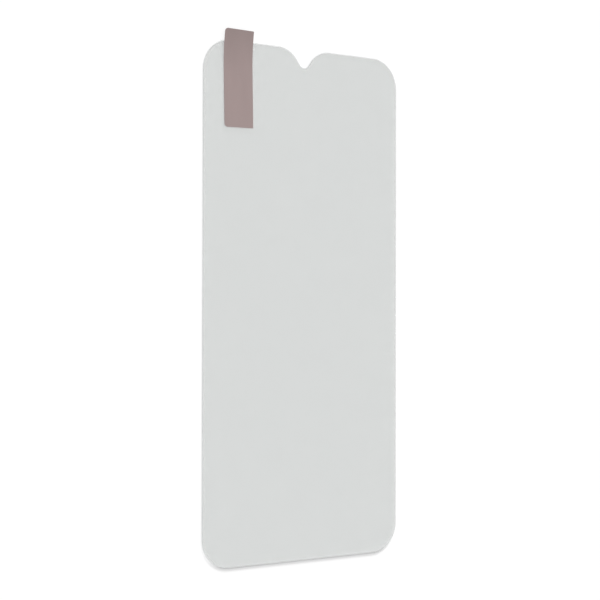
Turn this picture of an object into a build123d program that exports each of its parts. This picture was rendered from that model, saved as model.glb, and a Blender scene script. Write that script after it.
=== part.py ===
from build123d import *
from math import cos, radians, sin
import os

# A phone screen protector as it is sold: tempered glass with its adhesive coat, the release liner over the
# coat, and the tab that peels the liner off. It lies with the outer face of the glass down.
# Millimetres. The origin is the centre of that outer face, +X across the sheet, +Y along it to the camera
# notch, +Z up through the layers to the tab.

# Glass sheet
sheet_width = 69.0
sheet_length = 148.0
corner_radius = 8.9
glass_thickness = 0.33

# Edge of the glass, from the outer face up: a rounded rim, a narrow square land and a fine bevel.
# The rim leaves the outer face at a slight angle and curves on up to the land.
rim_width = 1.0
rim_lead_angle = 3.0
edge_land = 0.09
edge_bevel = 0.04

# Camera notch in the middle of the top edge
notch_depth = 5.4
notch_flank_angle = 54.0
notch_flank_length = 1.5
notch_tip_radius = 1.9

# Adhesive coat and release liner, each held back from the edge of the glass
adhesive_thickness = 0.15
adhesive_inset = 0.5
liner_thickness = 0.075
liner_inset = 0.3

# Pull tab: a strip stuck flat on the liner, then curled up to its free end past the top edge. The free end is
# cut askew, so that the right side is shorter by the slant.
tab_width = 9.65
tab_thickness = 0.1
tab_stuck_length = 16.0
tab_curl_radius = 60.0
tab_curl_angle = 11.1
tab_end_slant = 0.29
tab_round_corner = 1.0
tab_square_corner = 0.25

# Place of the tab: its foot's middle from the left side and from the top edge, and its turn to the left
tab_side_distance = 11.7
tab_foot_distance = 24.5
tab_lean = 1.1

# Worked out from the sizes above
half_width = sheet_width / 2
half_length = sheet_length / 2
rim_height = glass_thickness - edge_land - edge_bevel
rim_lead = radians(rim_lead_angle)
flank_turn = radians(notch_flank_angle)
notch_arc_radii = (notch_depth - notch_flank_length * sin(flank_turn)) / (1 - cos(flank_turn))
notch_shoulder_radius = notch_arc_radii - notch_tip_radius
notch_half_width = notch_flank_length * cos(flank_turn) + notch_arc_radii * sin(flank_turn)
adhesive_bottom = glass_thickness
liner_bottom = adhesive_bottom + adhesive_thickness
tab_bottom = liner_bottom + liner_thickness
tab_half_width = tab_width / 2
tab_reach = tab_stuck_length + (tab_curl_radius - tab_thickness) * sin(radians(tab_curl_angle))

os.makedirs("parts", exist_ok=True)

# Outline of the sheet: the right half, anticlockwise from the middle of the bottom edge, and its mirror image
with BuildSketch() as sheet_outline:
    with BuildLine():
        bottom_edge = Line((0, -half_length), (half_width - corner_radius, -half_length))
        bottom_corner = JernArc(bottom_edge @ 1, bottom_edge % 1, corner_radius, 90)
        side_edge = Line(bottom_corner @ 1, (half_width, half_length - corner_radius))
        top_corner = JernArc(side_edge @ 1, side_edge % 1, corner_radius, 90)
        top_edge = Line(top_corner @ 1, (notch_half_width, half_length))
        notch_shoulder = JernArc(top_edge @ 1, top_edge % 1, notch_shoulder_radius, notch_flank_angle)
        notch_flank = PolarLine(notch_shoulder @ 1, notch_flank_length, direction=notch_shoulder % 1)
        JernArc(notch_flank @ 1, notch_flank % 1, notch_tip_radius, -notch_flank_angle)
        mirror(about=Plane.YZ)
    make_face()

# Tempered glass: the rim's section is drawn square to the outline, outwards and down from its edge, and
# swept all the way round
with BuildPart() as tempered_glass:
    add(sheet_outline.sketch)
    extrude(amount=glass_thickness)
    rim_path = sheet_outline.sketch.face().outer_wire()
    outwards = (rim_path % 0).cross(Vector(0, 0, 1))
    with BuildSketch(Plane(rim_path @ 0, x_dir=outwards, z_dir=rim_path % 0)) as rim_section:
        with BuildLine():
            rim = TangentArc((-rim_width, 0), (0, -rim_height), tangent=(cos(rim_lead), -sin(rim_lead)))
            Polyline(
                rim @ 1,
                (rim_width, -rim_height),
                (rim_width, rim_height),
                (-rim_width, rim_height),
                rim @ 0,
            )
        make_face()
    sweep(rim_section.sketch, path=rim_path, mode=Mode.SUBTRACT)
    chamfer(tempered_glass.faces().sort_by(Axis.Z)[-1].outer_wire().edges(), edge_bevel)
tempered_glass.part.label = "tempered_glass"
export_step(tempered_glass.part, "parts/tempered_glass.step")

# Adhesive coat, bonded to the back of the glass
with BuildPart() as adhesive_layer:
    with BuildSketch(Plane.XY.offset(adhesive_bottom)):
        add(sheet_outline.sketch)
        offset(amount=-adhesive_inset)
    extrude(amount=adhesive_thickness)
adhesive_layer.part.label = "adhesive_layer"
export_step(adhesive_layer.part, "parts/adhesive_layer.step")

# Release liner, which reaches a little past the adhesive all round
with BuildPart() as release_liner:
    with BuildSketch(Plane.XY.offset(liner_bottom)):
        add(sheet_outline.sketch)
        offset(amount=-liner_inset)
    extrude(amount=liner_thickness)
release_liner.part.label = "release_liner"
export_step(release_liner.part, "parts/release_liner.step")

# Pull tab: its plan, stood up and trimmed to the side view of the curled strip
tab_foot = (tab_side_distance - half_width, half_length - tab_foot_distance, tab_bottom)
tab_plan_plane = Plane(tab_foot).rotated((0, 0, tab_lean))
tab_side_plane = Plane(tab_foot, x_dir=tab_plan_plane.y_dir, z_dir=tab_plan_plane.x_dir)
with BuildPart() as pull_tab:
    with BuildSketch(tab_plan_plane) as tab_plan:
        with BuildLine():
            Polyline(
                (-tab_half_width, 0),
                (tab_half_width, 0),
                (tab_half_width, tab_reach - tab_end_slant),
                (-tab_half_width, tab_reach),
                close=True,
            )
        make_face()
        fillet(tab_plan.vertices().group_by(Axis.X)[0], tab_round_corner)
        fillet(tab_plan.vertices().group_by(Axis.X)[-1], tab_square_corner)
    extrude(amount=tab_reach)
    with BuildSketch(tab_side_plane):
        with BuildLine():
            underside = Line((0, 0), (tab_stuck_length, 0))
            JernArc(underside @ 1, underside % 1, tab_curl_radius, tab_curl_angle)
            offset(amount=tab_thickness, side=Side.LEFT)
        make_face()
    extrude(amount=tab_width, both=True, mode=Mode.INTERSECT)
pull_tab.part.label = "pull_tab"
export_step(pull_tab.part, "parts/pull_tab.step")
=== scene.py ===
from math import atan2, cos, hypot, pi, radians, sin

import bmesh
import bpy
from mathutils import Matrix, Vector


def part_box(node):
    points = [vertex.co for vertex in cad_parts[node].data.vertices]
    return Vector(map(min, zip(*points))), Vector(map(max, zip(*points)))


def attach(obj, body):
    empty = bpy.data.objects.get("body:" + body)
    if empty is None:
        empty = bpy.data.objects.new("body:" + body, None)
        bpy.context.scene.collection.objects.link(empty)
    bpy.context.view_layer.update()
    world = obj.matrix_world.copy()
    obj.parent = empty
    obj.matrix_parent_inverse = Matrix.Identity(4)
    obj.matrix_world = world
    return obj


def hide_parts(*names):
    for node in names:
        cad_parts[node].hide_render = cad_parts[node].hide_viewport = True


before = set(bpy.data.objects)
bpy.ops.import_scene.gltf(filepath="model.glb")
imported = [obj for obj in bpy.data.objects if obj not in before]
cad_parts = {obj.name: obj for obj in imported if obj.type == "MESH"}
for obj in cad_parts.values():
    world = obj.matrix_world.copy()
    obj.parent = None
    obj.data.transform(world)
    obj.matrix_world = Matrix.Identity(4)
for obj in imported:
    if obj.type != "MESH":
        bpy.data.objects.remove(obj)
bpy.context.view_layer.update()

# A phone screen protector on a white floor: tempered glass with its adhesive coat, its release liner and the
# tab that peels the liner off.
# Metres, in the frame's own axes: +X across the sheet, +Y along it to the camera notch, +Z up to the tab.
MM = 0.001

# Places of the layers, from the frame
glass_low, glass_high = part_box("tempered_glass")
adhesive_low, adhesive_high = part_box("adhesive_layer")
liner_low, liner_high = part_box("release_liner")
half_width = glass_high.x
half_length = glass_high.y
adhesive_inset = half_width - adhesive_high.x
liner_inset = half_width - liner_high.x

# Outline of the sheet: round corners, and a camera notch of two shoulders, two flanks and a round tip
corner_radius = 8.9 * MM
notch_depth = 5.4 * MM
notch_flank_turn = radians(54)
notch_flank_length = 1.5 * MM
notch_tip_radius = 1.9 * MM
notch_arc_radii = (notch_depth - notch_flank_length * sin(notch_flank_turn)) / (1 - cos(notch_flank_turn))
notch_shoulder_radius = notch_arc_radii - notch_tip_radius
notch_half_width = notch_flank_length * cos(notch_flank_turn) + notch_arc_radii * sin(notch_flank_turn)
arc_step = radians(2.5)

# Edge of the glass, from the outer face up: a rounded rim, a narrow land and a fine bevel
rim_width = 1.0 * MM
rim_lead = radians(3)
edge_land = 0.09 * MM
edge_bevel = 0.04 * MM
rim_height = glass_high.z - edge_land - edge_bevel
rim_chord_tilt = atan2(rim_height, rim_width)
rim_exit = 2 * rim_chord_tilt - rim_lead
rim_radius = hypot(rim_width, rim_height) / (2 * sin(rim_chord_tilt - rim_lead))
rim_rings = 6

# Pull tab: stuck flat on the liner, then curled up to its free end, which is cut askew
tab_width = 9.65 * MM
tab_thickness = 0.1 * MM
tab_stuck_length = 16 * MM
tab_curl_radius = 60 * MM
tab_curl_turn = radians(11.1)
tab_curl_length = tab_curl_radius * tab_curl_turn
tab_curl_folds = 24
tab_end_slant = 0.29 * MM
tab_round_corner = 1.0 * MM
tab_square_corner = 0.25 * MM
tab_corner_steps = 8

# Place of the tab: its foot's middle from the left side and from the top edge, and its turn to the left
tab_side_distance = 11.7 * MM
tab_foot_distance = 24.5 * MM
tab_foot = Vector((tab_side_distance - half_width, half_length - tab_foot_distance, liner_high.z))
tab_lean = radians(1.1)

# Air left between layers that lie on each other, so that each keeps a surface of its own
hairline = 0.006 * MM

# Where a surface turns by more than this, its edge is seen as sharp
sharp_turn = radians(30)

# Finishes: their colours, and how far a layer covers what is under it
glass_ior = 1.5
glass_tint = (0.845, 0.853, 0.85)
# The rim's tint is clearer than the faces', partly because the glass is thinner there and partly as painted
# light: it is lightened to offset the shade on the floor seen through the rim.
rim_tint_with_painted_light = (0.97, 0.98, 0.975)
edge_grey = (0.89, 0.91, 0.9)
edge_clearness = 0.15
silicone_grey = (0.82, 0.83, 0.82)
silicone_cover = 0.03
film_grey = (0.673, 0.685, 0.68)
film_cover = 0.3
tab_brown = (0.341, 0.264, 0.2555)
tab_relief = 0.01 * MM

# Light that the glass and the tab let through to the floor. The rim lets less through where it faces the
# bottom edge steeply, by the part of its normal that points along the sheet.
glass_lets_through = (0.87, 0.88, 0.875)
tab_lets_through = (0.86, 0.85, 0.85)
rim_lets_through = 0.9
steep_rim_lets_through = 0.18
rim_normal = -0.2
steep_rim_normal = -0.27

# Range that most of a cloudy pattern stays in
pattern_low = 0.3
pattern_high = 0.7

# Camera, from the sheet's outline in the photograph
photo_side = 600
focal_pixels = 1548.9
sensor_side = 36.0
camera_place = Vector((-263.31, -5.49, 362.74)) * MM
camera_aim = Vector((-1.22, 1.26, 0.19)) * MM
camera_roll = radians(0.11)

# Light: most of it from all round, and the lamp's share from one soft, far lamp past the top edge
lamp_share = 0.36
lamp_azimuth = radians(77)
lamp_elevation = radians(22)
lamp_spread = radians(22)
floor_half_side = 3.0
floor_glow = 0.2
floor_lit = 0.83


def node(tree, kind, inputs=None, **settings):
    """Adds a shader node. An input that is given as a socket is linked, and any other is set."""
    made = tree.nodes.new(kind)
    for key, value in settings.items():
        setattr(made, key, value)
    for key, value in (inputs or {}).items():
        if isinstance(value, bpy.types.NodeSocket):
            tree.links.new(value, made.inputs[key])
        else:
            made.inputs[key].default_value = value
    return made


def surface(name, build):
    """A material whose surface is the shader that build makes in its node tree."""
    material = bpy.data.materials.new(name)
    material.use_nodes = True
    tree = material.node_tree
    tree.nodes.clear()
    shader = build(tree)
    node(tree, "ShaderNodeOutputMaterial", {"Surface": shader.outputs[0]})
    return material


def pattern(tree, spot, stretch=(1, 1, 1), turn=0, detail=2):
    """A cloudy pattern between 0 and 1 with spots of about this size, drawn out along its axes."""
    place = node(tree, "ShaderNodeTexCoord").outputs["Object"]
    laid = node(tree, "ShaderNodeMapping", {
        "Vector": place,
        "Rotation": (0, 0, turn),
        "Scale": [1 / (spot * longer) for longer in stretch],
    })
    clouds = node(tree, "ShaderNodeTexNoise", {"Vector": laid.outputs[0], "Scale": 1, "Detail": detail})
    return clouds.outputs["Fac"]


def between(tree, share, low, high):
    """Values from low to high as a pattern goes over its usual range."""
    return node(tree, "ShaderNodeMapRange", {
        "Value": share,
        "From Min": pattern_low,
        "From Max": pattern_high,
        "To Min": low,
        "To Max": high,
    }).outputs[0]


def shaded(tree, colour, share, amount):
    """A colour that gets darker and lighter by this amount as a pattern goes over its usual range."""
    return node(tree, "ShaderNodeHueSaturation", {
        "Color": (*colour, 1),
        "Value": between(tree, share, 1 - amount, 1 + amount),
    }).outputs[0]


def light_passes(tree, shader, colour):
    """Lets lamp light and light from the floor through a shader, tinted by a colour, with no bending."""
    passed = node(tree, "ShaderNodeBsdfTransparent", {"Color": colour})
    ray = node(tree, "ShaderNodeLightPath")
    for kind in ("Is Diffuse Ray", "Is Shadow Ray"):
        shader = node(tree, "ShaderNodeMixShader", {
            0: ray.outputs[kind],
            1: shader.outputs[0],
            2: passed.outputs[0],
        })
    return shader


def polished_face():
    """Faces of the tempered glass: clear, faintly grey-green, with the slightest haze from handling."""
    def build(tree):
        haze = pattern(tree, spot=14 * MM, stretch=(1, 2, 1), turn=radians(20), detail=4)
        glass = node(tree, "ShaderNodeBsdfPrincipled", {
            "Base Color": (*glass_tint, 1),
            "Roughness": between(tree, haze, 0.01, 0.03),
            "IOR": glass_ior,
            "Transmission Weight": 1.0,
        })
        return light_passes(tree, glass, (*glass_lets_through, 1))
    return surface("polished_face", build)


def polished_rim():
    """The rounded rim: clear, but less smooth than the faces.

    Its steep part along the bottom edge bends the lamp light away.
    """
    def build(tree):
        grind = pattern(tree, spot=0.4 * MM, detail=3)
        facing = node(tree, "ShaderNodeTexCoord").outputs["Normal"]
        lengthwise = node(tree, "ShaderNodeSeparateXYZ", {"Vector": facing}).outputs["Y"]
        passed = node(tree, "ShaderNodeMapRange", {
            "Value": lengthwise,
            "From Min": steep_rim_normal,
            "From Max": rim_normal,
            "To Min": steep_rim_lets_through,
            "To Max": rim_lets_through,
        })
        glass = node(tree, "ShaderNodeBsdfPrincipled", {
            # Painted light: the rim's tint is lightened to offset the darker floor seen through it, beside
            # the real clearing of thinner glass.
            "Base Color": (*rim_tint_with_painted_light, 1),
            "Roughness": between(tree, grind, 0.2, 0.3),
            "IOR": glass_ior,
            "Transmission Weight": 1.0,
        })
        return light_passes(tree, glass, passed.outputs[0])
    return surface("polished_rim", build)


def ground_edge():
    """Land and bevel of the glass: ground, so grey-green and frosted, with marks of the grinding wheel."""
    def build(tree):
        marks = pattern(tree, spot=0.05 * MM, stretch=(1, 1, 12), detail=2)
        return node(tree, "ShaderNodeBsdfPrincipled", {
            "Base Color": shaded(tree, edge_grey, marks, 0.08),
            "Roughness": between(tree, marks, 0.28, 0.45),
            "IOR": glass_ior,
            "Transmission Weight": edge_clearness,
        })
    return surface("ground_edge", build)


def silicone_coat():
    """The adhesive: a clear coat with faint ripples from the coating knife."""
    def build(tree):
        ripples = pattern(tree, spot=2.5 * MM, stretch=(1, 8, 1), detail=1)
        return node(tree, "ShaderNodeBsdfPrincipled", {
            "Base Color": shaded(tree, silicone_grey, ripples, 0.04),
            "Roughness": between(tree, ripples, 0.2, 0.35),
            "Alpha": silicone_cover,
        })
    return surface("silicone_coat", build)


def polyester_film():
    """The liner: a thin glossy film, faintly milky, with fine hairline scratches."""
    def build(tree):
        scratches = pattern(tree, spot=0.12 * MM, stretch=(1, 60, 1), turn=radians(12), detail=3)
        return node(tree, "ShaderNodeBsdfPrincipled", {
            "Base Color": shaded(tree, film_grey, scratches, 0.06),
            "Roughness": between(tree, scratches, 0.06, 0.2),
            "Alpha": film_cover,
        })
    return surface("polyester_film", build)


def tab_film():
    """The tab: matt grey-brown film with a fine grain, so thin that it throws hardly any shadow."""
    def build(tree):
        grain = pattern(tree, spot=0.2 * MM, detail=3)
        clouds = pattern(tree, spot=4 * MM, stretch=(1, 3, 1), turn=tab_lean)
        relief = node(tree, "ShaderNodeBump", {"Height": grain, "Strength": 0.4, "Distance": tab_relief})
        mottled = node(tree, "ShaderNodeMath", {0: grain, 1: clouds, 2: 0.25}, operation="MULTIPLY_ADD")
        film = node(tree, "ShaderNodeBsdfPrincipled", {
            "Base Color": shaded(tree, tab_brown, mottled.outputs[0], 0.05),
            "Roughness": between(tree, grain, 0.5, 0.62),
            "Normal": relief.outputs[0],
        })
        return light_passes(tree, film, (*tab_lets_through, 1))
    return surface("tab_film", build)


def piece_from(bm, name, materials):
    """An object at the origin from a finished bmesh."""
    mesh = bpy.data.meshes.new(name)
    bm.to_mesh(mesh)
    bm.free()
    for material in materials:
        mesh.materials.append(material)
    made = bpy.data.objects.new(name, mesh)
    bpy.context.scene.collection.objects.link(made)
    return made


def shade(bm, flats):
    """Smooth faces, with sharp edges round the flat ones and wherever the surface turns a corner."""
    for face in bm.faces:
        face.smooth = True
    for edge in bm.edges:
        meets_flat = any(face in flats for face in edge.link_faces)
        edge.smooth = not meets_flat and edge.calc_face_angle(0) < sharp_turn


def run(bm, vert, heading, length):
    """Draws a straight edge on from a vertex."""
    drawn = bmesh.ops.extrude_vert_indiv(bm, verts=[vert])["verts"][0]
    bmesh.ops.translate(bm, verts=[drawn], vec=Vector((cos(heading), sin(heading), 0)) * length)
    return drawn, heading


def bend(bm, vert, heading, radius, turn):
    """Draws an arc on from a vertex, to the left for a positive turn."""
    side = 1 if turn > 0 else -1
    centre = vert.co + Vector((-sin(heading), cos(heading), 0)) * radius * side
    steps = round(abs(turn) / arc_step)
    arc = bmesh.ops.spin(bm, geom=[vert], cent=centre, axis=(0, 0, 1), angle=turn, steps=steps)
    drawn = next(item for item in arc["geom_last"] if isinstance(item, bmesh.types.BMVert))
    return drawn, heading + turn


def outline_face(bm, inset, height):
    """Fills the sheet's outline, held back by the inset: the right half, anticlockwise, and its mirror."""
    vert = bm.verts.new((0, inset - half_length, height))
    vert, heading = run(bm, vert, 0, half_width - corner_radius)
    vert, heading = bend(bm, vert, heading, corner_radius - inset, pi / 2)
    vert, heading = run(bm, vert, heading, 2 * (half_length - corner_radius))
    vert, heading = bend(bm, vert, heading, corner_radius - inset, pi / 2)
    vert, heading = run(bm, vert, heading, half_width - corner_radius - notch_half_width)
    vert, heading = bend(bm, vert, heading, notch_shoulder_radius - inset, notch_flank_turn)
    vert, heading = run(bm, vert, heading, notch_flank_length)
    bend(bm, vert, heading, notch_tip_radius + inset, -notch_flank_turn)
    bmesh.ops.mirror(bm, geom=bm.verts[:] + bm.edges[:], axis="X", merge_dist=hairline)
    face = bmesh.ops.contextual_create(bm, geom=bm.edges[:])["faces"][0]
    if face.normal.z > 0:
        face.normal_flip()
    return face


def raise_face(bm, face, height):
    """Extrudes a face straight up into a closed slab, and gives the face at its top."""
    lifted = bmesh.ops.extrude_face_region(bm, geom=[face])["geom"]
    verts = [item for item in lifted if isinstance(item, bmesh.types.BMVert)]
    bmesh.ops.translate(bm, verts=verts, vec=(0, 0, height))
    top = next(item for item in lifted if isinstance(item, bmesh.types.BMFace))
    bmesh.ops.recalc_face_normals(bm, faces=bm.faces[:])
    return top


def step_in(bm, face, inwards, along):
    """Narrows a face by one ring of faces, moved along its normal, and gives the ring."""
    ring = bmesh.ops.inset_region(bm, faces=[face], thickness=inwards, depth=along, use_even_offset=True)
    return ring["faces"]


def glass_sheet():
    """The tempered glass: a slab as high as the land, bevelled above and rounded below ring by ring."""
    bm = bmesh.new()
    outer = outline_face(bm, 0, rim_height)
    top = raise_face(bm, outer, edge_land)
    land = [face for face in bm.faces if face not in (outer, top)]
    bevel = step_in(bm, top, edge_bevel, edge_bevel)
    turns = [rim_exit + (rim_lead - rim_exit) * ring / rim_rings for ring in range(rim_rings + 1)]
    for start, stop in zip(turns, turns[1:]):
        step_in(bm, outer, rim_radius * (sin(start) - sin(stop)), rim_radius * (cos(stop) - cos(start)))
    shade(bm, {outer, top})
    face_slot, rim_slot, edge_slot = range(3)
    for face in bm.faces:
        face.material_index = rim_slot
    for face in (outer, top):
        face.material_index = face_slot
    for face in land + bevel:
        face.material_index = edge_slot
    return piece_from(bm, "glass_sheet", [polished_face(), polished_rim(), ground_edge()])


def flat_layer(name, inset, low, high, material):
    """A layer with the sheet's outline and square edges."""
    bm = bmesh.new()
    bottom = outline_face(bm, inset, low)
    top = raise_face(bm, bottom, high - low)
    shade(bm, {bottom, top})
    return piece_from(bm, name, [material])


def tab_blank(bm):
    """Draws the tab flat, along +Y from its foot's middle: its free end cut askew and its corners rounded."""
    length = tab_stuck_length + tab_curl_length
    middle = Matrix.Translation((0, length / 2, 0)) @ Matrix.Diagonal((tab_width / 2, length / 2, 1, 1))
    bmesh.ops.create_grid(bm, x_segments=1, y_segments=1, size=1, matrix=middle)
    short_corner = max(bm.verts, key=lambda v: v.co.x + v.co.y)
    bmesh.ops.translate(bm, verts=[short_corner], vec=(0, -tab_end_slant, 0))
    for side, radius in ((-1, tab_round_corner), (1, tab_square_corner)):
        bmesh.ops.bevel(
            bm,
            geom=[v for v in bm.verts if v.co.x * side > 0],
            affect="VERTICES",
            offset=radius,
            segments=tab_corner_steps,
            profile=0.5,
            material=-1,
        )


def curl_up(bm):
    """Folds the tab up past its stuck length by a little at each crease, from the free end back."""
    fold = Matrix.Rotation(tab_curl_turn / tab_curl_folds, 3, "X")
    for nearer_folds in reversed(range(tab_curl_folds)):
        crease = Vector((0, tab_stuck_length + tab_curl_length * (nearer_folds + 0.5) / tab_curl_folds, 0))
        whole = bm.verts[:] + bm.edges[:] + bm.faces[:]
        bmesh.ops.bisect_plane(bm, geom=whole, plane_co=crease, plane_no=(0, 1, 0))
        beyond = [v for v in bm.verts if v.co.y > crease.y]
        bmesh.ops.rotate(bm, verts=beyond, cent=crease, matrix=fold)


def tab_strip():
    """The tab: its blank curled up, turned face up and thickened, at its place on the liner."""
    bm = bmesh.new()
    tab_blank(bm)
    curl_up(bm)
    bmesh.ops.recalc_face_normals(bm, faces=bm.faces[:])
    if next(iter(bm.faces)).normal.z < 0:
        bmesh.ops.reverse_faces(bm, faces=bm.faces[:])
    bmesh.ops.solidify(bm, geom=bm.faces[:], thickness=-tab_thickness)
    bmesh.ops.recalc_face_normals(bm, faces=bm.faces[:])
    place = Matrix.Translation(tab_foot + Vector((0, 0, hairline))) @ Matrix.Rotation(tab_lean, 4, "Z")
    bmesh.ops.transform(bm, verts=bm.verts[:], matrix=place)
    shade(bm, set())
    return piece_from(bm, "tab_strip", [tab_film()])


def seen(tree):
    """1 for rays from the camera, a mirror or glass, and 0 for rays that only carry light."""
    ray = node(tree, "ShaderNodeLightPath").outputs
    share = ray["Is Camera Ray"]
    for kind in ("Is Glossy Ray", "Is Transmission Ray"):
        share = node(tree, "ShaderNodeMath", {0: share, 1: ray[kind]}, operation="MAXIMUM").outputs[0]
    return share


def white_floor():
    """A white floor that keeps the shadow of what lies on it."""
    bm = bmesh.new()
    bmesh.ops.create_grid(bm, x_segments=1, y_segments=1, size=floor_half_side)
    bmesh.ops.translate(bm, verts=bm.verts[:], vec=(0, 0, glass_low.z - hairline))

    def build(tree):
        lit = node(tree, "ShaderNodeBsdfDiffuse", {"Color": (floor_lit, floor_lit, floor_lit, 1)})
        glow = node(tree, "ShaderNodeEmission", {"Strength": floor_glow})
        white = node(tree, "ShaderNodeAddShader", {0: lit.outputs[0], 1: glow.outputs[0]})
        return node(tree, "ShaderNodeMixShader", {0: seen(tree), 1: lit.outputs[0], 2: white.outputs[0]})
    piece_from(bm, "floor", [surface("floor_white", build)])


def studio_white():
    """White all round, which gives the light that doesn't come from the lamp."""
    world = bpy.data.worlds.new("studio")
    world.use_nodes = True
    tree = world.node_tree
    tree.nodes.clear()
    light = node(tree, "ShaderNodeBackground", {"Color": (1, 1, 1, 1), "Strength": 1 - lamp_share})
    white = node(tree, "ShaderNodeBackground", {"Color": (1, 1, 1, 1), "Strength": 1})
    mixed = node(tree, "ShaderNodeMixShader", {0: seen(tree), 1: light.outputs[0], 2: white.outputs[0]})
    node(tree, "ShaderNodeOutputWorld", {"Surface": mixed.outputs[0]})
    bpy.context.scene.world = world


def far_lamp():
    """One soft, far lamp past the top edge, which lights matt surfaces and casts the shadows.

    Gloss shows only the white all round. No ray finds the lamp by chance, so gloss has no specks of it.
    """
    lamp = bpy.data.lights.new("far_lamp", "SUN")
    lamp.angle = lamp_spread
    lamp.energy = lamp_share * pi / sin(lamp_elevation)
    lamp.cycles.use_multiple_importance_sampling = False
    level = cos(lamp_elevation)
    towards = Vector((level * cos(lamp_azimuth), level * sin(lamp_azimuth), sin(lamp_elevation)))
    stand = bpy.data.objects.new("far_lamp", lamp)
    stand.visible_glossy = False
    stand.visible_transmission = False
    stand.matrix_world = towards.to_track_quat("Z", "Y").to_matrix().to_4x4()
    bpy.context.scene.collection.objects.link(stand)


def photo_camera():
    """Looks down on the sheet at the photograph's angle, with the notch end at the top of the picture."""
    lens = bpy.data.cameras.new("camera")
    lens.sensor_width = sensor_side
    lens.lens = focal_pixels / photo_side * sensor_side
    back = (camera_place - camera_aim).normalized()
    right = Vector((0, 1, 0)).cross(back).normalized()
    level = Matrix((right, back.cross(right), back)).transposed().to_4x4()
    made = bpy.data.objects.new("camera", lens)
    made.matrix_world = Matrix.Translation(camera_place) @ (level @ Matrix.Rotation(camera_roll, 4, "Z"))
    bpy.context.scene.collection.objects.link(made)
    bpy.context.scene.camera = made


bpy.context.scene.view_settings.view_transform = "Standard"

adhesive_coat = flat_layer(
    "adhesive_coat", adhesive_inset, adhesive_low.z + hairline, adhesive_high.z - hairline, silicone_coat()
)
liner_film = flat_layer("liner_film", liner_inset, liner_low.z, liner_high.z, polyester_film())

# The two clear layers throw no shadow of their own: the glass under them tints the light for all three
for layer in (adhesive_coat, liner_film):
    layer.visible_shadow = False
    layer.visible_diffuse = False

for piece, cad_node, finish in (
    (glass_sheet(), "tempered_glass", "glass"),
    (adhesive_coat, "adhesive_layer", "adhesive"),
    (liner_film, "release_liner", "liner"),
    (tab_strip(), "pull_tab", "tab"),
):
    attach(piece, "root")
    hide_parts(cad_node)

white_floor()
studio_white()
far_lamp()
photo_camera()
